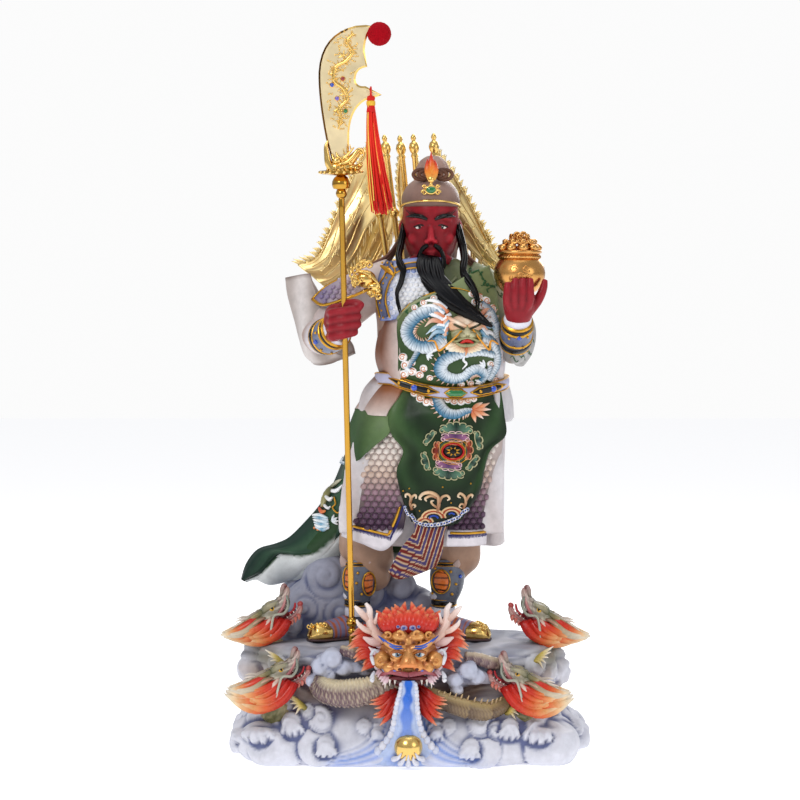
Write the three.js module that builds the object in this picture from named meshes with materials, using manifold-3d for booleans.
// A painted resin statuette of a bearded general, standing on a plinth of clouds, waves and dragons.
// He holds a long-bladed glaive in one fist and a round pot of treasure on the other hand, and gilt
// flags stand on his back. Millimetres, +Z up, front towards -Y, origin under the plinth's middle.
import * as THREE from "three";
import Module from "manifold-3d";
import { mergeVertices } from "three/addons/utils/BufferGeometryUtils.js";

const wasm = await Module();
wasm.setup();

// Driving dimensions of the plinth and the figure
const PLINTH_WIDTH = 284;
const PLINTH_DEPTH = 176;
const TERRACE_HEIGHT = 88; // where the soles stand
const FIGURE_HEIGHT = 386;

// Driving dimensions of the glaive
const SHAFT_RADIUS = 2.5;
const SHAFT_LENGTH = 371; // from the terrace to the guard
const GLAIVE_FOOT_X = -44;
const GLAIVE_FOOT_Y = -36;
const BLADE_LENGTH = 118; // guard to the top of the blade
const BLADE_THICKNESS = 3.2;
const GUARD_RADIUS = 17;
const GUARD_THICKNESS = 3;
const TIP_BALL_RADIUS = 9;
const TASSEL_LENGTH = 92;

// Driving dimensions of the pot and the flags
const POT_RADIUS = 20;
const POLE_RADIUS = 2.2;
const POLE_LENGTH = 112;
const POLE_SOCKET_DEPTH = 8;
const FLAG_THICKNESS = 1.2;

// Clearances between separate pieces
const GAP = 0.3;
const SOCKET_GAP = 0.4;
const FACET_TOLERANCE = 0.7; // how far the joined forms may be flattened
const PLINTH_TOLERANCE = 1.1;
const METAL_TOLERANCE = 0.15;
const SEAT_GAP = GAP + FACET_TOLERANCE + 0.1;

// The free forms are drawn at these nominal sizes, as shares of their own width, depth and height.
const NOMINAL = { plinthWidth: 284, plinthDepth: 176, terrace: 88, figure: 386, blade: 118, tassel: 92, pot: 20 };

const vec = (x, y, z) => new THREE.Vector3(x, y, z);
const UP = vec(0, 0, 1);
const RIGHT = vec(1, 0, 0);

// Solids and sections

function solid(geometry) {
  const bare = geometry.clone();
  bare.deleteAttribute("normal");
  bare.deleteAttribute("uv");
  const merged = mergeVertices(bare, 1e-4);
  const made = (triVerts) =>
    new wasm.Manifold(new wasm.Mesh({ numProp: 3, vertProperties: merged.attributes.position.array, triVerts }));
  const turned = new Uint32Array(merged.index.array);
  const first = made(turned);
  if (first.volume() > 0) return first;
  for (let i = 0; i < turned.length; i += 3) [turned[i + 1], turned[i + 2]] = [turned[i + 2], turned[i + 1]];
  return made(turned);
}

function joined(solids) {
  return solids.flat(Infinity).reduce((whole, piece) => whole.add(piece));
}

// A closed skin over rings of points, one ring after another, capped at both ends.
function skin(rings) {
  const count = rings[0].length;
  const points = rings.flat();
  const faces = [];
  for (let k = 0; k + 1 < rings.length; k++)
    for (let i = 0; i < count; i++) {
      const j = (i + 1) % count;
      const a = k * count + i;
      const b = k * count + j;
      faces.push(a, b, b + count, a, b + count, a + count);
    }
  const cap = (start, turn) => {
    const middle = vec(0, 0, 0);
    for (let i = 0; i < count; i++) middle.addScaledVector(points[start + i], 1 / count);
    points.push(middle);
    for (let i = 0; i < count; i++) {
      const edge = [start + i, start + ((i + 1) % count)];
      faces.push(points.length - 1, edge[turn ? 0 : 1], edge[turn ? 1 : 0]);
    }
  };
  cap(0, false);
  cap((rings.length - 1) * count, true);
  const geometry = new THREE.BufferGeometry().setFromPoints(points);
  geometry.setIndex(faces);
  return solid(geometry);
}

// A ring of points round a centre: half sizes a and b along two axes, squarer as the power grows.
function ring(centre, axisA, axisB, a, b, sides, power = 2) {
  return Array.from({ length: sides }, (_, i) => {
    const angle = (2 * Math.PI * i) / sides;
    const c = Math.cos(angle);
    const s = Math.sin(angle);
    return centre
      .clone()
      .addScaledVector(axisA, a * Math.sign(c) * Math.abs(c) ** (2 / power))
      .addScaledVector(axisB, b * Math.sign(s) * Math.abs(s) ** (2 / power));
  });
}

// A body of level sections. Each station is [x, y, z, half width, half depth]. Folds deepen along it.
function stack(stations, place, sides = 16, power = 2.2, folds = { count: 0, depth: 0 }) {
  const across = place(1, 0, 0).sub(place(0, 0, 0));
  const inwards = place(0, 1, 0).sub(place(0, 0, 0));
  return skin(stations.map(([x, y, z, a, b], k) => {
    const centre = place(x, y, z);
    return ring(centre, across, inwards, a, b, sides, power).map((p, i) => {
      const wave = folds.depth * Math.cos((2 * Math.PI * folds.count * i) / sides) * (k / (stations.length - 1));
      return p.sub(centre).multiplyScalar(1 + wave).add(centre);
    });
  }));
}

// A limb, lock, horn or wave swept along a smooth path. Each station is [x, y, z, half width, half thickness].
// The width lies along the across direction, as far as the path allows.
function sweep(stations, place, { across = RIGHT, sides = 7, steps = 1, grow = 0 } = {}) {
  const path = new THREE.CatmullRomCurve3(stations.map(([x, y, z]) => place(x, y, z)));
  const unit = place(1, 0, 0).distanceTo(place(0, 0, 0));
  const spans = stations.length - 1;
  const rings = [];
  for (let i = 0; i <= spans * steps; i++) {
    const t = i / (spans * steps);
    const k = Math.min(Math.floor(i / steps), spans - 1);
    const share = i / steps - k;
    const size = (n) => THREE.MathUtils.lerp(stations[k][n], stations[k + 1][n], share) * unit + grow;
    const ahead = path.getTangent(t);
    const axisA = across.clone().addScaledVector(ahead, -across.dot(ahead)).normalize();
    const axisB = ahead.clone().cross(axisA);
    rings.push(ring(path.getPoint(t), axisA, axisB, size(3), size(4), sides));
  }
  return skin(rings);
}

// A rounded lump.
function puff(place, [x, y, z], [a, b, c], detail = 1) {
  const geometry = new THREE.IcosahedronGeometry(1, detail);
  const at = place(x, y, z);
  const unit = place(1, 0, 0).distanceTo(place(0, 0, 0));
  geometry.scale(a * unit, b * unit, c * unit).translate(at.x, at.y, at.z);
  return solid(geometry);
}

// A sheet of the given thickness over a grid of points: rows[k][i].
function sheet(rows, thickness) {
  const down = rows.length;
  const over = rows[0].length;
  const normalAt = (k, i) => {
    const along = rows[Math.min(k + 1, down - 1)][i].clone().sub(rows[Math.max(k - 1, 0)][i]);
    const sideways = rows[k][Math.min(i + 1, over - 1)].clone().sub(rows[k][Math.max(i - 1, 0)]);
    return along.cross(sideways).normalize();
  };
  const rings = rows.map((row, k) => {
    const front = row.map((p, i) => p.clone().addScaledVector(normalAt(k, i), thickness / 2));
    const back = row.map((p, i) => p.clone().addScaledVector(normalAt(k, i), -thickness / 2));
    return [...front, ...back.reverse()];
  });
  return stripSkin(rings, over);
}

// Closes a folded strip of rings whose first half is the front and second half the back.
function stripSkin(rings, over) {
  const count = over * 2;
  const faces = [];
  for (let k = 0; k + 1 < rings.length; k++)
    for (let i = 0; i < count; i++) {
      const a = k * count + i;
      const b = k * count + ((i + 1) % count);
      faces.push(a, b, b + count, a, b + count, a + count);
    }
  const end = (start, turn) => {
    for (let i = 0; i + 1 < over; i++) {
      const quad = [start + i, start + i + 1, start + count - 2 - i, start + count - 1 - i];
      const order = turn ? [0, 1, 2, 0, 2, 3] : [0, 2, 1, 0, 3, 2];
      faces.push(...order.map((n) => quad[n]));
    }
  };
  end(0, false);
  end((rings.length - 1) * count, true);
  const geometry = new THREE.BufferGeometry().setFromPoints(rings.flat());
  geometry.setIndex(faces);
  return solid(geometry);
}

// A flat outline in the x and z directions, given a thickness in y and centred on it.
function plate(shape, thickness, place, curveSegments = 4) {
  const geometry = new THREE.ExtrudeGeometry(shape, { depth: thickness, bevelEnabled: false, curveSegments });
  geometry.rotateX(Math.PI / 2).translate(0, thickness / 2, 0);
  return solid(geometry.applyMatrix4(place));
}

// A turned form: profile points are [radius, height] from the axis back to the axis.
function turned(profile, segments, matrix) {
  const points = profile.map(([r, z]) => new THREE.Vector2(r, z));
  const geometry = new THREE.LatheGeometry(points, segments).rotateX(Math.PI / 2);
  return solid(geometry.applyMatrix4(matrix));
}

// The places of the plinth's and the figure's own points

const wide = PLINTH_WIDTH / NOMINAL.plinthWidth;
const deep = PLINTH_DEPTH / NOMINAL.plinthDepth;
const high = TERRACE_HEIGHT / NOMINAL.terrace;
const onPlinth = (x, y, z) => vec(x * wide, y * deep, z * high);
const stature = FIGURE_HEIGHT / NOMINAL.figure;
const soles = TERRACE_HEIGHT + GAP;
const onFigure = (x, y, z) => vec(x * stature, y * stature, z * stature + soles);

// The glaive stands on the terrace and passes through the fist.
const glaiveFoot = vec(GLAIVE_FOOT_X, GLAIVE_FOOT_Y, TERRACE_HEIGHT + GAP);
const fist = onFigure(-49.5, -54, 255);
const glaiveLine = fist.clone().sub(glaiveFoot).normalize();
const glaiveTurn = new THREE.Quaternion().setFromUnitVectors(UP, glaiveLine);
const glaivePlace = (along) =>
  new THREE.Matrix4().compose(glaiveFoot.clone().addScaledVector(glaiveLine, along), glaiveTurn, vec(1, 1, 1));

function shaftSolid(grow = 0) {
  const low = 26;
  const radius = SHAFT_RADIUS + grow;
  const rod = [[0, 0], [radius, 0], [radius, SHAFT_LENGTH], [0, SHAFT_LENGTH]];
  if (grow) return turned(rod, 12, glaivePlace(0));
  const foot = [
    [0, 0], [3.4, 0.4], [4.6, 3.4], [3.4, 6.4], [4.2, 7.4], [6, 11], [6.2, 14], [5, 18], [3.4, 20], [3.6, 22],
    [SHAFT_RADIUS, low],
  ];
  return turned([...foot, [SHAFT_RADIUS, SHAFT_LENGTH - GAP], [0, SHAFT_LENGTH - GAP]], 10, glaivePlace(0));
}

// The blade, drawn from the guard's middle: x towards the figure, z along the shaft.

const bladeScale = BLADE_LENGTH / NOMINAL.blade;

function bladeShape() {
  const s = new THREE.Shape();
  const at = (x, z) => [x * bladeScale, z * bladeScale];
  const bend = (x1, z1, x2, z2) => s.quadraticCurveTo(...at(x1, z1), ...at(x2, z2));
  s.moveTo(...at(-5, 2));
  s.lineTo(...at(-11, 28));
  bend(-17, 62, -16, 80);
  bend(-14, 112, 19, 118);
  s.lineTo(...at(27, 115));
  bend(19, 104, 19, 94);
  s.lineTo(...at(21.5, 83));
  bend(12.5, 82, 12.3, 74);
  bend(12.5, 68, 20, 68.5);
  s.lineTo(...at(33, 61.5));
  bend(24, 58, 20, 57.5);
  bend(6, 50, 6.5, 27);
  s.lineTo(...at(6, 2));
  return s;
}

const HOOK = [24.5 * bladeScale, 62.2 * bladeScale];
const HOOK_HOLE_RADIUS = 1.9;
const LOOP_RADIUS = 5;
const LOOP_CORD_RADIUS = 0.7;

function glaiveBlade() {
  const top = glaivePlace(SHAFT_LENGTH);
  const place = (x, y, z) => vec(x * bladeScale, y * bladeScale, z * bladeScale).applyMatrix4(top);
  const hole = turned([[0, -4], [HOOK_HOLE_RADIUS, -4], [HOOK_HOLE_RADIUS, 4], [0, 4]], 10,
    new THREE.Matrix4().multiplyMatrices(top, new THREE.Matrix4().makeTranslation(HOOK[0], 0, HOOK[1])
      .multiply(new THREE.Matrix4().makeRotationX(Math.PI / 2))));
  const blade = plate(bladeShape(), BLADE_THICKNESS, top, 4).subtract(hole);
  const relief = [
    sweep([[-4, 0, 44, 2, 2.4], [4, 0, 54, 2.6, 2.6], [-2, 0, 64, 2.8, 2.8], [-6, 0, 74, 2.6, 2.6], [4, 0, 84, 2.4, 2.4],
      [8, 0, 96, 1.2, 2]], place, { sides: 6 }),
  ];
  const guard = [[0, 0], [GUARD_RADIUS * 0.82, 0], [GUARD_RADIUS, GUARD_THICKNESS / 2], [GUARD_RADIUS * 0.9, GUARD_THICKNESS],
    [0, GUARD_THICKNESS + 1]];
  const collar = [[0, -26], [3.6, -26], [4.2, -22], [3.4, -21], [6, -17], [6.6, -13], [5, -9], [3.6, -7], [4, -4], [8, 0.5],
    [0, 0.5]];
  const bore = turned([[0, -30], [SHAFT_RADIUS + SOCKET_GAP, -30], [SHAFT_RADIUS + SOCKET_GAP, 0], [0, 0]], 14, top);
  const jaws = [
    puff(place, [-2, 0, 8], [10, 6.2, 8]),
    sweep([[4, 0, 8, 4, 4], [9, 0, 15, 4, 4], [13, 0, 21, 3.2, 3], [15, 0, 26, 2, 2]], place, { across: vec(0, 1, 0) }),
    sweep([[8, 0, 5, 3.4, 3], [14, 0, 8, 3, 2.6], [17, 0, 13, 2.2, 1.8]], place, { across: vec(0, 1, 0) }),
    sweep([[-4, 0, 10, 4, 3], [-11, 0, 20, 3.2, 2.6], [-13, 0, 32, 1.2, 1.2]], place, { across: vec(0, 1, 0) }),
    sweep([[-8, 0, 6, 4, 2.4], [-14, 0, 16, 2.6, 2], [-17, 0, 25, 0.8, 0.8]], place, { across: vec(0, 1, 0) }),
  ];
  return lightened(joined([blade, relief, turned(guard, 14, top), turned(collar, 10, top), jaws]).subtract(bore), METAL_TOLERANCE / 2);
}

const BALL_AT = [32 * bladeScale, 109 * bladeScale];

function tipBall() {
  const top = glaivePlace(SHAFT_LENGTH);
  const centre = vec(BALL_AT[0], 0, BALL_AT[1]).applyMatrix4(top);
  const ball = solid(new THREE.IcosahedronGeometry(TIP_BALL_RADIUS, 2).translate(centre.x, centre.y, centre.z));
  return ball.subtract(plate(bladeShape(), BLADE_THICKNESS + 2 * GAP, top, 4));
}

function tassel() {
  const top = glaivePlace(SHAFT_LENGTH);
  const hook = vec(HOOK[0], 0, HOOK[1]).applyMatrix4(top);
  const long = TASSEL_LENGTH / NOMINAL.tassel;
  const place = (x, y, z) => vec(hook.x + x, hook.y + y, hook.z + z * long - LOOP_RADIUS);
  const loop = new THREE.TorusGeometry(LOOP_RADIUS, LOOP_CORD_RADIUS, 5, 16).rotateY(Math.PI / 2);
  loop.translate(hook.x, hook.y, hook.z - LOOP_RADIUS + GAP);
  const body = sweep([[0, 0, -3.6, 1.6, 1.6], [0, 0, -5.6, 3, 3], [0, 0, -8, 2.8, 2.8], [0, 0, -11, 2.6, 2.6],
    [0.6, 0, -20, 4.2, 3.6], [2, 0, -38, 5, 4.2], [3.6, 0, -56, 6, 4.6], [6, 0, -76, 7.8, 5.4], [8, 0, -92, 9, 5.6]],
  place, { across: RIGHT, sides: 10 });
  return joined([solid(loop), body]);
}

// The figure: the solids that make one casting

function legs(grow = 0) {
  const leg = (stations) => sweep(stations, onFigure, { sides: 10, grow });
  const outwards = (toeX, toeY, heelX, heelY) => vec(-(toeY - heelY), toeX - heelX, 0).normalize();
  const shoe = (heel, toe) => {
    const mid = (s) => [heel[0] + (toe[0] - heel[0]) * s, heel[1] + (toe[1] - heel[1]) * s];
    const across = outwards(toe[0], toe[1], heel[0], heel[1]);
    const at = (s, z, a, b) => [...mid(s), z, a, b];
    const raw = sweep([at(-0.12, 7, 5, 6), at(0.1, 9, 8, 9), at(0.45, 8, 9.5, 8), at(0.8, 7, 9.5, 7), at(1.02, 8, 5, 5)],
      onFigure, { across, sides: 10, grow });
    const floor = new THREE.BoxGeometry(200, 200, 40).translate(0, 0, soles - 20);
    return grow ? raw : raw.subtract(solid(floor));
  };
  return [
    leg([[-12, 6, 150, 24, 22], [-24, 4, 112, 23, 21], [-34, 2, 80, 19, 18], [-38, 2, 60, 16, 15], [-40, 3, 44, 13, 13]]),
    leg([[40, 6, 150, 24, 22], [42, 4, 112, 22, 21], [37, 2, 80, 19, 18], [33, 2, 60, 16, 15], [31, 3, 44, 13, 13]]),
    leg([[-40, 0, 66, 13, 12], [-39, -1, 50, 15, 13], [-41, 0, 34, 11, 10], [-43, 1, 24, 8, 8], [-43, 2, 12, 10, 9]]),
    leg([[32, 0, 66, 13, 12], [31, -1, 50, 15, 13], [29, 0, 34, 12, 10], [27, 1, 24, 9, 8], [26, 2, 12, 10, 9]]),
    shoe([-42, 3], [-76, -17]),
    shoe([26, 3], [62, -14]),
  ];
}

function trunk() {
  const robe = [[16, 8, 76, 56, 28], [15, 8, 100, 57, 32], [18, 7, 140, 53, 34], [24, 4, 180, 50, 35], [27, 2, 200, 48, 36],
    [27, -2, 226, 51, 40], [24, -1, 255, 49, 38], [19, 2, 280, 47, 32], [18, 4, 295, 38, 25], [18, 5, 306, 20, 18]];
  const belt = [[26, 2, 191, 49, 37], [26.5, 2, 193, 51, 39.5], [27.5, 1, 206, 51, 40], [28, 0, 208, 49, 38]];
  return [stack(robe, onFigure, 18), stack(belt, onFigure, 18)];
}

// The robe's skirts: a white back skirt, armoured panels over the thighs, a green apron and a striped sash.
function skirts() {
  const across = RIGHT;
  const panel = (stations) => sweep(stations, onFigure, { across, sides: 6 });
  const fold = (stations) => sweep(stations.map((p, i) => [...p, 2.6 + i, 2.6]), onFigure, { across, sides: 6 });
  return [
    panel([[-24, -20, 176, 14, 5], [-30, -27, 140, 20, 6], [-31, -29, 104, 25, 6], [-30, -28, 86, 26, 5]]),
    panel([[66, -14, 170, 10, 5], [62, -24, 138, 15, 6], [56, -27, 104, 21, 6], [55, -26, 82, 22, 5]]),
    panel([[30, -33, 194, 42, 6], [26, -36, 160, 40, 7], [22, -38, 126, 36, 7], [22, -38, 102, 30, 6], [20, -36, 84, 16, 5]]),
    panel([[22, -32, 98, 17, 4], [13, -34, 74, 18, 4], [3, -34, 52, 18, 3]]),
    panel([[72, 4, 190, 6, 12], [71, 4, 150, 7, 18], [68, 4, 110, 8, 22], [69, 4, 76, 9, 22]]),
    panel([[-17, -4, 208, 10, 20], [-25, -5, 194, 13, 21], [-33, -5, 180, 9, 19]]),
    panel([[66, -6, 204, 10, 20], [68, -6, 190, 11, 21], [70, -6, 178, 8, 19]]),
    fold([[-6, -36, 188], [4, -43, 150], [16, -44, 108]]),
    fold([[62, -32, 188], [54, -41, 152], [38, -44, 112]]),
    fold([[8, -40, 188], [16, -44, 160], [24, -45, 130]]),
    fold([[48, -38, 188], [42, -43, 164], [32, -45, 138]]),
  ];
}

const BACK_FOLDS = { count: 7, depth: 0.06 };

// The long green tail of the robe, blown out to the left behind the legs.
function robeTail(grow = 0) {
  const stations = [[-30, 10, 192, 8, 14], [-40, 12, 170, 9, 22], [-44, 16, 140, 11, 24], [-54, 20, 103, 15, 24],
    [-73, 24, 76, 17, 20], [-97, 28, 60, 18, 12], [-117, 30, 53, 16, 8], [-131, 31, 50, 8, 5]];
  const back = [[18, 26, 200, 44, 12], [15, 30, 160, 52, 13], [5, 36, 110, 60, 13], [-10, 40, 80, 60, 11], [-26, 40, 58, 50, 7]]
    .map(([x, y, z, a, b]) => [x, y, z - grow, a + grow, b + grow]);
  const across = vec(0.8, 0, -0.6);
  return [sweep(stations, onFigure, { across, sides: 10, grow }), stack(back, onFigure, 24, 2.2, BACK_FOLDS)];
}

function sleeveShape() {
  const s = new THREE.Shape();
  const at = (x, z) => [x * stature, z * stature];
  s.moveTo(...at(-97, 290));
  s.quadraticCurveTo(...at(-84, 292), ...at(-78, 293));
  s.quadraticCurveTo(...at(-77, 276), ...at(-70, 266));
  s.lineTo(...at(-44, 262));
  s.lineTo(...at(-40, 236));
  s.quadraticCurveTo(...at(-56, 218), ...at(-66, 222));
  s.lineTo(...at(-76, 221));
  s.quadraticCurveTo(...at(-87, 236), ...at(-88, 256));
  return s;
}

function arms() {
  const sleevePlace = new THREE.Matrix4().makeTranslation(0, 6 * stature, soles);
  const glaiveArm = [
    sweep([[-14, 4, 288, 20, 20], [-34, 4, 278, 22, 20], [-56, 2, 262, 21, 20], [-70, -4, 248, 17, 17]], onFigure,
      { across: vec(0, 1, 0), sides: 10 }),
    sweep([[-70, 0, 246, 17, 17], [-68, -18, 243, 15, 15], [-62, -34, 244, 13.5, 13.5], [-57, -44, 248, 11, 11]], onFigure,
      { across: UP, sides: 10 }),
    plate(sleeveShape(), 22 * stature, sleevePlace),
    sweep([[-63, -34, 243, 14.6, 14.6], [-59, -42, 247, 13.4, 13.4]], onFigure, { across: UP, sides: 10 }),
    sweep([[-30, 2, 280, 24, 22], [-48, 1, 269, 25, 22], [-62, 0, 258, 22, 19]], onFigure, { across: vec(0, 1, 0), sides: 10 }),
    puff(onFigure, [-33, -18, 286], [11, 7, 9]),
  ];
  const potArm = [
    sweep([[46, 4, 286, 20, 20], [62, 4, 276, 20, 20], [74, 2, 260, 18, 19], [82, -4, 245, 15, 17]], onFigure,
      { across: vec(0, 1, 0), sides: 10 }),
    sweep([[84, -2, 238, 12, 16], [84, -14, 236, 13, 15], [85, -28, 242, 12, 12], [85.5, -40, 252, 11.5, 11],
      [85.5, -46, 260, 9.5, 9]], onFigure, { across: RIGHT, sides: 10 }),
    sweep([[90, 6, 260, 9, 8], [93, 4, 248, 9, 15], [90, 2, 234, 9, 16], [87, 0, 221, 5, 10]], onFigure, { sides: 6 }),
    sweep([[85.5, -44, 254, 12.6, 12], [85.5, -48, 262, 12.6, 11]], onFigure, { sides: 10 }),
  ];
  return [...glaiveArm, ...potArm];
}

// The fist closed round the shaft: palm, four curled fingers and a thumb over them.
function gripHand() {
  const fingers = [0, 1, 2, 3].map((k) => {
    const z = 268 - k * 8.4;
    const reach = k === 3 ? -40.5 : -38;
    return sweep([[-60, -50, z + 0.5, 5, 5.2], [-58, -60, z, 5, 4.6], [-49, -64, z, 4.8, 4.4], [reach - 2, -59, z, 4.4, 4.2],
      [reach - 2, -52, z, 3.4, 3.4]], onFigure, { across: UP, sides: 6 });
  });
  return [
    sweep([[-57, -40, 246, 9, 9], [-57, -47, 252, 14, 8], [-54, -52, 256, 17, 8], [-50, -54, 257, 16, 6]], onFigure,
      { across: UP, sides: 6 }),
    ...fingers,
    sweep([[-54, -46, 268, 5, 5], [-46, -52, 274, 4.8, 4.8], [-38, -57, 271, 4.6, 4.6], [-36, -58, 266, 3.4, 3.4]], onFigure,
      { across: UP, sides: 6 }),
  ];
}

// The open hand under the pot: its back to the front, fingers up, and the thumb out to the side.
function potHand() {
  const fingers = [0, 1, 2, 3].map((k) => {
    const x = 76 + k * 5.9;
    return sweep([[x * 0.4 + 51, -57, 264, 4, 4.4], [x, -63, 272, 3.8, 4], [x + 0.2, -65, 281, 3.5, 3.5],
      [x + 0.4, -64, 291 - (k === 0 ? 3 : 0), 2.4, 2.4]], onFigure, { sides: 6 });
  });
  return [
    sweep([[86, -46, 256, 8, 7], [86, -53, 262, 11, 7], [86, -57, 270, 13, 7], [86, -52, 277, 12, 8]], onFigure, { sides: 8 }),
    ...fingers,
    sweep([[94, -52, 264, 4.6, 4.6], [101, -55, 273, 4, 4], [105, -54, 282, 3.4, 3.4], [106, -52, 290, 2.2, 2.2]], onFigure,
      { across: vec(0, 1, 0), sides: 6 }),
  ];
}

function head() {
  const skull = [[18, -4, 300, 13, 14], [18, -5, 308, 18, 20], [18, -4, 318, 22, 24], [18, -3, 330, 23.5, 25.5],
    [18, -2, 344, 23.5, 25], [18, 0, 358, 21, 23], [18, 2, 368, 14, 16]];
  return [
    stack(skull, onFigure, 16, 2),
    sweep([[18, 4, 292, 15, 15], [18, 2, 306, 14, 14], [18, 0, 320, 12, 12]], onFigure, { sides: 10 }),
    sweep([[18, -26, 342, 3, 2.4], [18, -31, 332, 4.6, 3.6], [18, -30, 326, 6, 3]], onFigure, { sides: 6 }),
    puff(onFigure, [-6, 0, 332], [3.4, 5, 8]),
    puff(onFigure, [42, 0, 332], [3.4, 5, 8]),
  ];
}

// The cloth hat: a close dome with a rolled edge, a raised top folded to the back, side curls and a flame.
function hat() {
  const dome = [[18, -2, 344, 22.5, 25], [18, -1, 350, 23.8, 27.5], [18, 0, 358, 22.6, 26.5], [18, 1, 367, 18.5, 23],
    [18, 2, 375, 12, 15], [18, 3, 378, 4, 6]];
  const crest = [[20, 4, 362, 16, 16], [21, 6, 372, 14, 14], [22, 8, 380, 9, 10], [23, 9, 386, 3, 4]];
  const bow = (x) => puff(onFigure, [x, -13, 371], [7.5, 5, 4.5], 0);
  const neckCloth = [[18, 16, 346, 21, 12], [18, 20, 326, 21, 11], [18, 22, 308, 20, 9], [18, 22, 296, 16, 7]];
  return [
    stack(dome, onFigure, 18, 2.1),
    stack(crest, onFigure, 12),
    bow(8),
    bow(30),
    sweep([[18, -22, 364, 3, 3], [18, -21, 372, 5.4, 4], [18, -19, 380, 4.2, 3.4], [17, -17, 387, 0.6, 0.6]], onFigure, { sides: 6 }),
    puff(onFigure, [17.5, -28, 359], [6, 2.4, 4], 0),
    stack(neckCloth, onFigure, 14),
    sweep([[-6, 6, 318, 4, 2], [-16, 4, 306, 4.6, 2], [-30, 2, 300, 4.4, 2], [-38, 0, 296, 2, 1.4]], onFigure,
      { across: vec(0, 1, 0), sides: 6 }),
    sweep([[42, 6, 318, 4, 2], [50, 2, 308, 4.4, 2], [58, -2, 304, 3.4, 2]], onFigure, { across: vec(0, 1, 0), sides: 6 }),
  ];
}

// The long beard swept across the chest, the moustache and the two side locks.
function beard() {
  const lock = (stations) => sweep(stations, onFigure, { sides: 6 });
  return [
    lock([[18, -24, 318, 9, 6], [18, -33, 308, 13, 8], [20, -38, 294, 15, 9], [28, -42, 279, 14.5, 8], [41, -46, 267, 11.5, 7],
      [55, -48, 259, 7, 5], [66, -48, 251, 1.6, 1.6]]),
    lock([[12, -30, 325, 2.4, 2.4], [7, -32, 318, 2.6, 2.6], [7, -34, 304, 2.8, 2.8], [10, -37, 290, 1.6, 1.6]]),
    lock([[24, -30, 325, 2.4, 2.4], [29, -32, 318, 2.6, 2.6], [30, -35, 304, 2.8, 2.8], [34, -38, 290, 1.6, 1.6]]),
    lock([[-3, -8, 330, 2, 2], [-5, -18, 312, 3, 3], [0, -28, 296, 3.4, 3], [-5, -33, 278, 2.8, 2.8], [-2, -37, 262, 1, 1]]),
    lock([[39, -10, 330, 2, 2], [43, -18, 312, 3, 3], [42, -28, 296, 3.4, 3], [52, -34, 280, 3.2, 3], [57, -38, 264, 3, 3],
      [56, -42, 252, 1.2, 1.2]]),
  ];
}

// The cast block on his back that the flag poles stand in.
const HOLDER = { x: 4, y: 37, z: 292, width: 60, depth: 26, height: 22 };

function flagHolder() {
  const { x, y, z, width, depth, height } = HOLDER;
  const block = [[x, y, z - height / 2, width * 0.4, depth * 0.4], [x, y, z - height / 3, width / 2, depth / 2],
    [x, y, z + height / 2, width / 2, depth / 2]];
  return stack(block, onFigure, 16, 4);
}

// Flags: the foot and the head of each pole, and the two edges of its cloth, in the figure's own places.

const holderTop = HOLDER.z + HOLDER.height / 2;
const FLAGS = [
  {
    name: "flag_outer_left", foot: [-17, 36], lean: [-0.145, 0.02],
    rails: [
      [[-30, 39, 399], [-43, 42, 378], [-55, 40, 352], [-66, 35, 325], [-75, 30, 307], [-89, 25, 300]],
      [[-22, 38, 342], [-33, 43, 328], [-42, 40, 308], [-52, 33, 294], [-60, 29, 287], [-69, 25, 284]],
    ],
  },
  {
    name: "flag_inner_left", foot: [-6, 41], lean: [-0.13, 0.05],
    rails: [
      [[-19, 47, 396], [-22, 56, 366], [-34, 56, 330], [-48, 46, 300], [-50, 42, 288]],
      [[-9, 45, 340], [-14, 54, 324], [-21, 56, 308], [-31, 50, 290], [-38, 44, 280]],
    ],
  },
  {
    name: "flag_middle", foot: [5, 44], lean: [-0.115, 0.09],
    rails: [
      [[-7, 55, 392], [-9, 68, 366], [-6, 76, 330], [-10, 72, 300], [-8, 66, 282]],
      [[1, 50, 344], [3, 62, 330], [6, 70, 312], [0, 70, 292], [-2, 66, 280]],
    ],
  },
  {
    name: "flag_inner_right", foot: [12, 40], lean: [-0.075, 0.06],
    rails: [
      [[6, 47, 392], [14, 60, 366], [24, 66, 330], [30, 60, 300], [36, 52, 286]],
      [[12, 45, 344], [20, 56, 330], [26, 60, 312], [34, 56, 294], [40, 50, 284]],
    ],
  },
  {
    name: "flag_outer_right", foot: [23, 36], lean: [-0.02, 0.03],
    rails: [
      [[21, 40, 396], [38, 44, 374], [55, 43, 344], [71, 38, 312], [78, 34, 300]],
      [[24, 39, 342], [36, 42, 330], [50, 41, 312], [64, 38, 298], [74, 34, 292]],
    ],
  },
];

function poleEnds(flag) {
  const low = onFigure(flag.foot[0], flag.foot[1], holderTop);
  const line = vec(flag.lean[0], flag.lean[1], 1).normalize();
  return { low, line };
}

function poleSolid(flag, grow = 0) {
  const { low, line } = poleEnds(flag);
  const turn = new THREE.Quaternion().setFromUnitVectors(UP, line);
  const matrix = new THREE.Matrix4().compose(low.clone().addScaledVector(line, -POLE_SOCKET_DEPTH), turn, vec(1, 1, 1));
  const r = POLE_RADIUS + grow;
  if (grow) return turned([[0, -grow], [r, -grow], [r, POLE_LENGTH], [0, POLE_LENGTH]], 10, matrix);
  const knob = POLE_LENGTH * 0.42;
  const rod = [[0, 0], [r, 0], [r, knob - 2], [r + 1.4, knob], [r + 1.4, knob + 2], [r, knob + 4], [r, POLE_LENGTH - 16]];
  const finial = [[3.6, POLE_LENGTH - 13], [4.2, POLE_LENGTH - 10], [3, POLE_LENGTH - 7], [1.4, POLE_LENGTH - 6],
    [2.1, POLE_LENGTH - 3], [1.2, POLE_LENGTH - 1], [0, POLE_LENGTH]];
  return turned([...rod, ...finial], 6, matrix);
}

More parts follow.
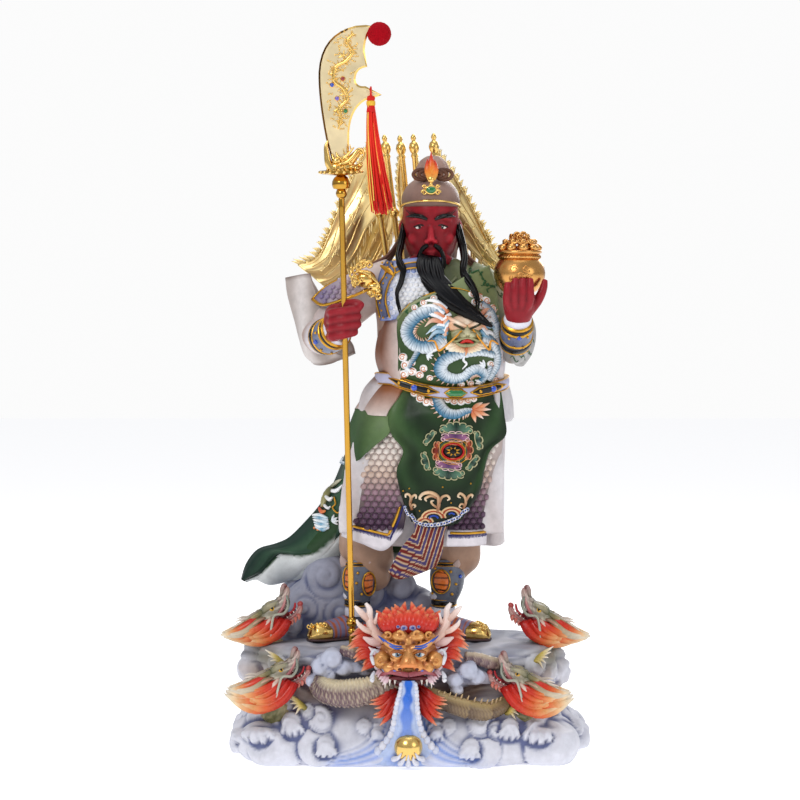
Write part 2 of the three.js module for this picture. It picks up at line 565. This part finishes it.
const FLAG_COLUMNS = 4;
const FLAG_ROWS = 12;
const FRINGE_TOOTH = 2.4;

function flagSolid(flag) {
  const { low, line } = poleEnds(flag);
  const rails = flag.rails.map((points) => new THREE.CatmullRomCurve3(points.map((p) => onFigure(...p))));
  const rows = Array.from({ length: FLAG_ROWS + 1 }, (_, k) => {
    const t = k / FLAG_ROWS;
    const edge = [rails[0].getPoint(t), rails[1].getPoint(t)];
    const out = edge[0].clone().sub(edge[1]).normalize();
    const tooth = (k % 2 ? 1 : 0) * FRINGE_TOOTH;
    return Array.from({ length: FLAG_COLUMNS }, (__, i) => {
      const s = i / (FLAG_COLUMNS - 1);
      const p = edge[0].clone().lerp(edge[1], s);
      p.y += 3 * Math.sin(s * 2 * Math.PI + t * 3) * Math.sin(Math.PI * Math.min(1, s + 0.1));
      if (i === 0) p.addScaledVector(out, tooth);
      if (i === FLAG_COLUMNS - 1) p.addScaledVector(out, -tooth);
      return p;
    });
  });
  // The first row of the cloth is pulled on to the pole, so that the flag and its pole are one piece.
  const reach = (p) => p.clone().sub(low).dot(line);
  rows[0] = rows[0].map((p) => low.clone().addScaledVector(line, reach(p)));
  return lightened(joined([poleSolid(flag), sheet(rows, FLAG_THICKNESS)]), METAL_TOLERANCE);
}

// The treasure pot: a plump gilt body, a rope rim and a heap of ingots and beads.

const potCentre = onFigure(87, -42, 293);

function treasurePot(grow = 0) {
  const k = POT_RADIUS / NOMINAL.pot;
  const place = (x, y, z) => vec(potCentre.x + x * k, potCentre.y + y * k, potCentre.z + z * k);
  const matrix = new THREE.Matrix4().makeTranslation(potCentre.x, potCentre.y, potCentre.z);
  const profile = [[0, -16.5], [8, -16], [14, -12.5], [18.6, -6], [20, 0], [19, 6], [16, 11], [14, 13.5], [16, 15], [16.6, 17],
    [15, 18.6], [0, 19]];
  const body = turned(profile.map(([r, z]) => [r ? r * k + grow : 0, z * k + (z < 0 ? -grow : grow)]), 14, matrix);
  if (grow) return body;
  const heap = [0, 1, 2, 3, 4, 5, 6].map((i) => {
    const angle = (2 * Math.PI * i) / 7;
    return puff(place, [12 * Math.cos(angle), 12 * Math.sin(angle), 20], [4.8, 4.8, 4.4], 0);
  });
  return lightened(joined([body, heap, puff(place, [0, 0, 23], [8, 8, 5]), puff(place, [0, 0, 28], [4.4, 4.4, 4], 0)]), METAL_TOLERANCE);
}

function figure() {
  const whole = joined([legs(), trunk(), skirts(), robeTail(), arms(), gripHand(), potHand(), head(), hat(), beard(),
    flagHolder()]);
  const sockets = FLAGS.map((flag) => poleSolid(flag, SOCKET_GAP));
  return [shaftSolid(SOCKET_GAP), treasurePot(GAP), ...sockets].reduce((body, tool) => body.subtract(tool), lightened(whole));
}

// The plinth

function plinthCore() {
  const rings = [[0, 0, 0, 134, 82], [0, 0, 4, 139, 86], [0, 0, 18, 141, 88], [0, 0, 34, 134, 80], [0, 0, 56, 124, 70],
    [0, 2, 78, 122, 66], [0, 4, 88, 116, 60]];
  return stack(rings, onPlinth, 24, 2.5);
}

// A rolled wave or cloud curl, standing on the plinth's side and facing out of it.
function curl([x, y, z], radius, { turns = 1.3, thick = 0.3, hand = 1, facing = 0, start = 0.2 } = {}) {
  const count = 9;
  const out = vec(Math.sin(facing), -Math.cos(facing), 0);
  const along = vec(Math.cos(facing), Math.sin(facing), 0);
  const stations = Array.from({ length: count }, (_, i) => {
    const t = i / (count - 1);
    const angle = (start + turns * t) * 2 * Math.PI;
    const r = radius * (1 - 0.72 * t);
    const p = vec(x, y, z).addScaledVector(along, hand * r * Math.cos(angle)).addScaledVector(UP, r * Math.sin(angle));
    p.addScaledVector(out, radius * 0.25 * t);
    const size = radius * thick * (1 - 0.35 * t);
    return [p.x, p.y, p.z, size * 1.5, size];
  });
  return sweep(stations, onPlinth, { across: out, sides: 5 });
}

// A breaking crest: short fingers of foam that curl over and down.
function claw([x, y, z], size, hand, facing = 0) {
  const out = vec(Math.sin(facing), -Math.cos(facing), 0);
  const along = vec(Math.cos(facing), Math.sin(facing), 0);
  const place = (a, b, c) => {
    const p = vec(x, y, z).addScaledVector(along, a * hand * size).addScaledVector(out, b * size).addScaledVector(UP, c * size);
    return onPlinth(p.x, p.y, p.z);
  };
  return [-0.8, -0.1, 0.6].map((k) =>
    sweep([[k - 0.3, -0.5, 0.1, 0.3, 0.4], [k, 0.1, 0.8 - k * 0.2, 0.34, 0.32], [k + 0.36, 0.5, 0.5 - k * 0.3, 0.3, 0.26],
      [k + 0.42, 0.6, -0.1 - k * 0.2, 0.12, 0.12]], place, { across: along, sides: 5 }));
}

function waves() {
  const side = (hand) => [
    puff(onPlinth, [hand * 112, -46, 14], [28, 26, 18]),
    puff(onPlinth, [hand * 74, -70, 12], [30, 20, 16]),
    claw([hand * 101, -68, 22], 15, -hand, hand * 0.5),
    claw([hand * 65, -86, 12], 13, -hand, hand * 0.2),
    claw([hand * 90, -76, 14], 9, -hand, hand * 0.3),
    curl([hand * 126, -44, 16], 12, { hand: -hand, facing: hand * 0.9 }),
    curl([hand * 42, -88, 12], 10, { hand: -hand, facing: hand * 0.1 }),
    puff(onPlinth, [hand * 60, -80, 32], [16, 9, 9], 0),
    curl([hand * 132, 8, 16], 16, { hand: -hand, facing: hand * 1.5 }),
    puff(onPlinth, [hand * 118, 44, 14], [22, 22, 16]),
    curl([hand * 96, 70, 18], 16, { hand, facing: Math.PI - hand * 0.6 }),
    curl([hand * 40, 84, 16], 15, { hand, facing: Math.PI }),
    sweep([[hand * 16, -90, 26, 5, 4], [hand * 30, -92, 11, 6, 4], [hand * 56, -90, 4, 5, 4], [hand * 92, -76, 5, 3, 3]],
      onPlinth, { across: vec(0, -1, 0), sides: 6 }),
  ];
  return [...side(-1), ...side(1)];
}

// The bank of clouds that rises from the terrace behind the legs and carries the robe's tail.
function clouds() {
  const bank = [[-36, 34, 76, 76, 30], [-38, 34, 97, 70, 28], [-44, 36, 115, 62, 24], [-50, 38, 131, 50, 18], [-54, 38, 143, 32, 9]];
  const side = (hand) => [
    puff(onPlinth, [hand * 52, -74, 74], [20, 11, 9]),
    puff(onPlinth, [hand * 68, -68, 80], [14, 10, 8], 0),
    puff(onPlinth, [hand * 36, -80, 66], [10, 8, 8], 0),
    curl([hand * 54, -80, 76], 9, { hand, thick: 0.34 }),
    puff(onPlinth, [hand * 114 - 4, -4, 68], [18, 20, 26]),
    ...[18, 40, 62, 82].map((degrees) => {
      const angle = THREE.MathUtils.degToRad(degrees);
      return puff(onPlinth, [hand * 106 * Math.cos(angle), 4 + 56 * Math.sin(angle), 80], [19, 15, 11]);
    }),
  ];
  return [
    stack(bank, onPlinth, 14),
    curl([-64, 10, 130], 21, { thick: 0.24, turns: 1.6, hand: -1 }),
    curl([-88, 10, 104], 14, { thick: 0.3, hand: -1 }),
    curl([-54, 8, 96], 11, { thick: 0.3 }),
    curl([2, 12, 110], 13, { thick: 0.3 }),
    puff(onPlinth, [-2, 28, 104], [30, 18, 22]),
    ...side(-1),
    ...side(1),
  ];
}

// A dragon's head in profile. It looks along u, with its crown along v and its cheek along w.
function sideDragon(centre, hand, tilt, size) {
  const u = vec(hand * Math.cos(tilt), 0, Math.sin(tilt));
  const v = vec(-hand * Math.sin(tilt), 0, Math.cos(tilt));
  const w = vec(0, -1, 0);
  const place = (x, y, z) => {
    const p = vec(...centre).addScaledVector(u, x * size).addScaledVector(v, z * size).addScaledVector(w, y * size);
    return onPlinth(p.x, p.y, p.z);
  };
  const part = (stations) => sweep(stations, place, { across: w, sides: 6 });
  const skull = [[-20, 0, 4, 6, 5], [-10, 0, 5, 11, 9], [2, 0, 4, 12, 10], [13, 0, 4, 9, 7], [22, 0, 7, 7, 4.5], [30, 0, 14, 5, 3.6]];
  const jaw = [[2, 0, -6, 9, 5], [13, 0, -11, 8, 4], [23, 0, -13, 6, 3.4], [30, 0, -11, 4, 2.6]];
  const neck = [[-8, -4, 0, 13, 12], [-24, -10, -6, 14, 13], [-32, -18, -22, 13, 13], [-30, -26, -42, 12, 12]];
  const manes = [
    [[-2, 4, -2, 8, 8], [-14, 6, 0, 8, 9], [-26, 6, 4, 5, 7], [-35, 4, 8, 1, 1.6]],
    [[-2, 3, -8, 8, 8], [-12, 5, -7, 8, 8], [-22, 5, -6, 5, 6], [-31, 4, -3, 1, 1.4]],
    [[4, 3, -11, 7, 6], [-6, 5, -15, 8, 7], [-15, 5, -16, 6, 5], [-24, 4, -13, 1, 1.2]],
    [[-6, 5, 9, 3, 3], [-17, 7, 13, 3, 3], [-29, 7, 15, 1, 1]],
  ];
  return [part(skull), part(jaw), part(neck), ...manes.map(part)];
}

// The dragon that looks out of the front, from the middle of the terrace's edge.
const FRONT_DRAGON_Y = -78;

function frontDragon() {
  const place = (x, y, z) => onPlinth(x, y + FRONT_DRAGON_Y, z);
  const part = (stations, across = RIGHT) => sweep(stations, place, { across, sides: 6 });
  const back = vec(0, 1, 0);
  const side = (hand) => {
    const mirrored = (stations) => stations.map(([x, ...rest]) => [hand * x, ...rest]);
    const crest = [4, 13, 21].map((offset, k) => part(mirrored([[offset, 8, 102, 6, 5], [offset * 1.05, 11, 113, 6, 5],
      [offset * 1.1, 12, 123 - k * 3, 3.6, 3], [offset * 1.15 + 2, 11, 129 - k * 4, 0.8, 0.8]])));
    return [
      puff(place, [hand * 14, -11, 88], [8, 6, 7]),
      puff(place, [hand * 20, -8, 78], [9, 8, 8]),
      puff(place, [hand * 7, -22, 80], [5, 4.4, 4], 0),
      part(mirrored([[7, -16, 95, 6, 3], [17, -13, 100, 5, 3], [25, -6, 104, 2, 2]])),
      part(mirrored([[14, 8, 106, 4, 4], [24, 12, 113, 4, 4], [32, 14, 119, 3.4, 3], [38, 15, 127, 1.4, 1.4]]), back),
      part(mirrored([[26, 13, 116, 3, 3], [36, 13, 113, 2.4, 2.4], [44, 12, 116, 1, 1]]), back),
      part(mirrored([[20, 6, 100, 7, 8], [33, 10, 99, 7, 8], [42, 14, 90, 5, 6], [48, 16, 78, 1, 2]]), back),
      part(mirrored([[14, -2, 70, 6, 7], [26, 2, 58, 6, 8], [38, 2, 50, 5, 6], [46, 2, 50, 1, 1]]), back),
      part(mirrored([[10, -6, 62, 5, 6], [18, -4, 48, 5, 7], [28, -4, 38, 4, 5], [36, -4, 37, 1, 1]]), back),
      ...crest,
    ];
  };
  const scaledBody = (stations) => sweep(stations, place, { across: back, sides: 8, steps: 2 });
  return [
    puff(place, [0, 4, 91], [25, 18, 18], 2),
    part([[0, -8, 98, 6, 6], [0, -16, 90, 7, 6], [0, -21, 83, 9, 6], [0, -20, 78, 10, 5]]),
    part([[-22, -6, 70, 3, 3], [-13, -16, 74, 4, 4], [0, -21, 74, 4.5, 4], [13, -16, 74, 4, 4], [22, -6, 70, 3, 3]], UP),
    part([[0, -8, 74, 15, 6], [0, -6, 64, 13, 7], [0, 0, 54, 10, 8]]),
    ...side(-1),
    ...side(1),
    scaledBody([[-14, 12, 64, 13, 13], [-36, 4, 56, 14, 14], [-58, 6, 59, 13, 13], [-76, 18, 70, 10, 10]]),
    scaledBody([[16, 12, 58, 13, 13], [38, 4, 52, 14, 14], [56, 8, 64, 13, 13], [66, 20, 80, 10, 10]]),
  ];
}

// The stream of water from the front dragon's mouth, and the gilt pearl at its foot.
function spout() {
  return [
    sweep([[0, -98, 70, 6, 4], [-1, -97, 58, 8, 5], [-2, -95, 44, 12, 7], [-1, -91, 28, 17, 8], [-1, -88, 10, 26, 8]], onPlinth,
      { across: RIGHT }),
    puff(onPlinth, [0, -92, 17.5], [11.2, 11.2, 11.2], 2),
  ];
}

function plinth() {
  const dragons = [
    sideDragon([-111, -14, 107], 1, 0.7, 1),
    sideDragon([105, -14, 104], -1, 0.7, 1),
    sideDragon([-102, -60, 62], 1, 0.6, 1),
    sideDragon([88, -62, 60], -1, 0.6, 1),
  ];
  const whole = joined([plinthCore(), waves(), clouds(), dragons, frontDragon(), spout()]);
  const floor = new THREE.BoxGeometry(PLINTH_WIDTH * 2, PLINTH_DEPTH * 2, TERRACE_HEIGHT);
  floor.translate(0, 0, -TERRACE_HEIGHT / 2);
  const shoeRoom = [[-42, 3], [-60, -7], [26, 3], [48, -6]].map(([x, y]) =>
    puff((a, b, c) => onFigure(a, b, c), [x, y, 14], [16, 14, 13.6]));
  const foot = turned([[0, 0], [7, 0], [7, 30], [0, 30]], 14, glaivePlace(0));
  const cutters = [solid(floor), ...legs(SEAT_GAP), ...robeTail(SEAT_GAP), ...shoeRoom, foot];
  return cutters.reduce((body, tool) => body.subtract(tool), lightened(whole, PLINTH_TOLERANCE));
}

// Paints and metals
const paint = (color, roughness) => new THREE.MeshStandardMaterial({ color, roughness, metalness: 0 });
const metal = (color, roughness) => new THREE.MeshStandardMaterial({ color, roughness, metalness: 1 });
const finishes = {
  cloudResin: paint(0xc9c9d2, 0.55),
  robeResin: paint(0x4f6b45, 0.5),
  gilt: metal(0xe2b24a, 0.22),
  redFelt: paint(0xb3122a, 0.95),
  redThread: paint(0xd8322b, 0.7),
};

// The outer shell of a solid: pockets closed in where forms meet are filled.
function outerShell(triVerts, positions) {
  const owner = Array.from({ length: positions.length / 3 }, (_, i) => i);
  const root = (i) => {
    let at = i;
    while (owner[at] !== at) {
      owner[at] = owner[owner[at]];
      at = owner[at];
    }
    return at;
  };
  for (let i = 0; i < triVerts.length; i += 3) {
    owner[root(triVerts[i])] = root(triVerts[i + 1]);
    owner[root(triVerts[i + 1])] = root(triVerts[i + 2]);
  }
  const shells = new Map();
  const point = (n) => vec(...positions.subarray(n * 3, n * 3 + 3));
  for (let i = 0; i < triVerts.length; i += 3) {
    const key = root(triVerts[i]);
    const shell = shells.get(key) ?? { faces: [], volume: 0 };
    const [a, b, c] = [0, 1, 2].map((k) => point(triVerts[i + k]));
    shell.volume += a.dot(b.cross(c)) / 6;
    shell.faces.push(...triVerts.subarray(i, i + 3));
    shells.set(key, shell);
  }
  return [...shells.values()].sort((a, b) => b.volume - a.volume)[0].faces;
}

// Removes the slivers left where forms meet. A point is drawn into a neighbour while that keeps the
// skin closed, turns no face over, and stays within the tolerance of every face it once belonged to.
function lightened(made, tolerance = FACET_TOLERANCE) {
  const { vertProperties, triVerts } = made.getMesh();
  const faces = outerShell(triVerts, vertProperties);
  const points = Array.from({ length: vertProperties.length / 3 }, (_, i) => vec(...vertProperties.subarray(i * 3, i * 3 + 3)));
  const triangles = Array.from({ length: faces.length / 3 }, (_, i) => faces.slice(i * 3, i * 3 + 3));
  const plane = (corners) => {
    const [a, b, c] = corners.map((n) => points[n]);
    return new THREE.Plane().setFromCoplanarPoints(a, b, c);
  };
  const around = points.map(() => new Set());
  const planes = points.map(() => []);
  triangles.forEach((corners, t) => corners.forEach((n) => {
    around[n].add(t);
    planes[n].push(plane(corners));
  }));
  const neighbours = (n) => new Set([...around[n]].flatMap((t) => triangles[t]).filter((m) => m !== n));
  const area = (corners) => {
    const [a, b, c] = corners.map((n) => points[n]);
    return b.clone().sub(a).cross(c.clone().sub(a)).length();
  };
  const allowed = (from, to, near) => {
    const shared = [...neighbours(to)].filter((n) => near.has(n));
    if (shared.length !== 2) return false;
    return [...around[from]].filter((t) => !triangles[t].includes(to)).every((t) => {
      const moved = triangles[t].map((n) => (n === from ? to : n));
      return area(moved) > 0.02 && (area(triangles[t]) < 0.02 || plane(moved).normal.dot(plane(triangles[t]).normal) > 0.3);
    });
  };
  const draw = (from, to) => {
    [...around[from]].forEach((t) => {
      if (triangles[t].includes(to)) {
        triangles[t].forEach((n) => around[n].delete(t));
        triangles[t] = null;
        return;
      }
      triangles[t] = triangles[t].map((n) => (n === from ? to : n));
      around[to].add(t);
    });
    around[from].clear();
    planes[to].push(...planes[from]);
  };
  for (let again = true; again; ) {
    again = false;
    points.forEach((_, from) => {
      if (!around[from].size) return;
      const near = neighbours(from);
      const error = (to) => Math.max(...planes[from].map((p) => Math.abs(p.distanceToPoint(points[to]))));
      const ranked = [...near].map((to) => [error(to), to]).sort((a, b) => a[0] - b[0]);
      const choice = ranked.find(([cost, to]) => cost < tolerance && allowed(from, to, near));
      if (!choice) return;
      draw(from, choice[1]);
      again = true;
    });
  }
  const geometry = new THREE.BufferGeometry().setFromPoints(points);
  geometry.setIndex(triangles.filter(Boolean).flat());
  return solid(geometry);
}

function mesh(name, made, material) {
  const { vertProperties, triVerts, numProp } = made.getMesh();
  const geometry = new THREE.BufferGeometry();
  geometry.setAttribute("position", new THREE.Float32BufferAttribute(vertProperties, numProp));
  geometry.setIndex(outerShell(triVerts, vertProperties));
  const node = new THREE.Mesh(geometry, material);
  node.name = name;
  return node;
}

const statue = new THREE.Group();
statue.add(
  mesh("plinth", plinth(), finishes.cloudResin),
  mesh("figure", figure(), finishes.robeResin),
  mesh("glaive_shaft", shaftSolid(), finishes.gilt),
  mesh("glaive_blade", glaiveBlade(), finishes.gilt),
  mesh("tip_ball", tipBall(), finishes.redFelt),
  mesh("tassel", tassel(), finishes.redThread),
  mesh("treasure_pot", treasurePot(), finishes.gilt),
  ...FLAGS.map((flag) => mesh(flag.name, flagSolid(flag), finishes.gilt)),
);

export default statue;
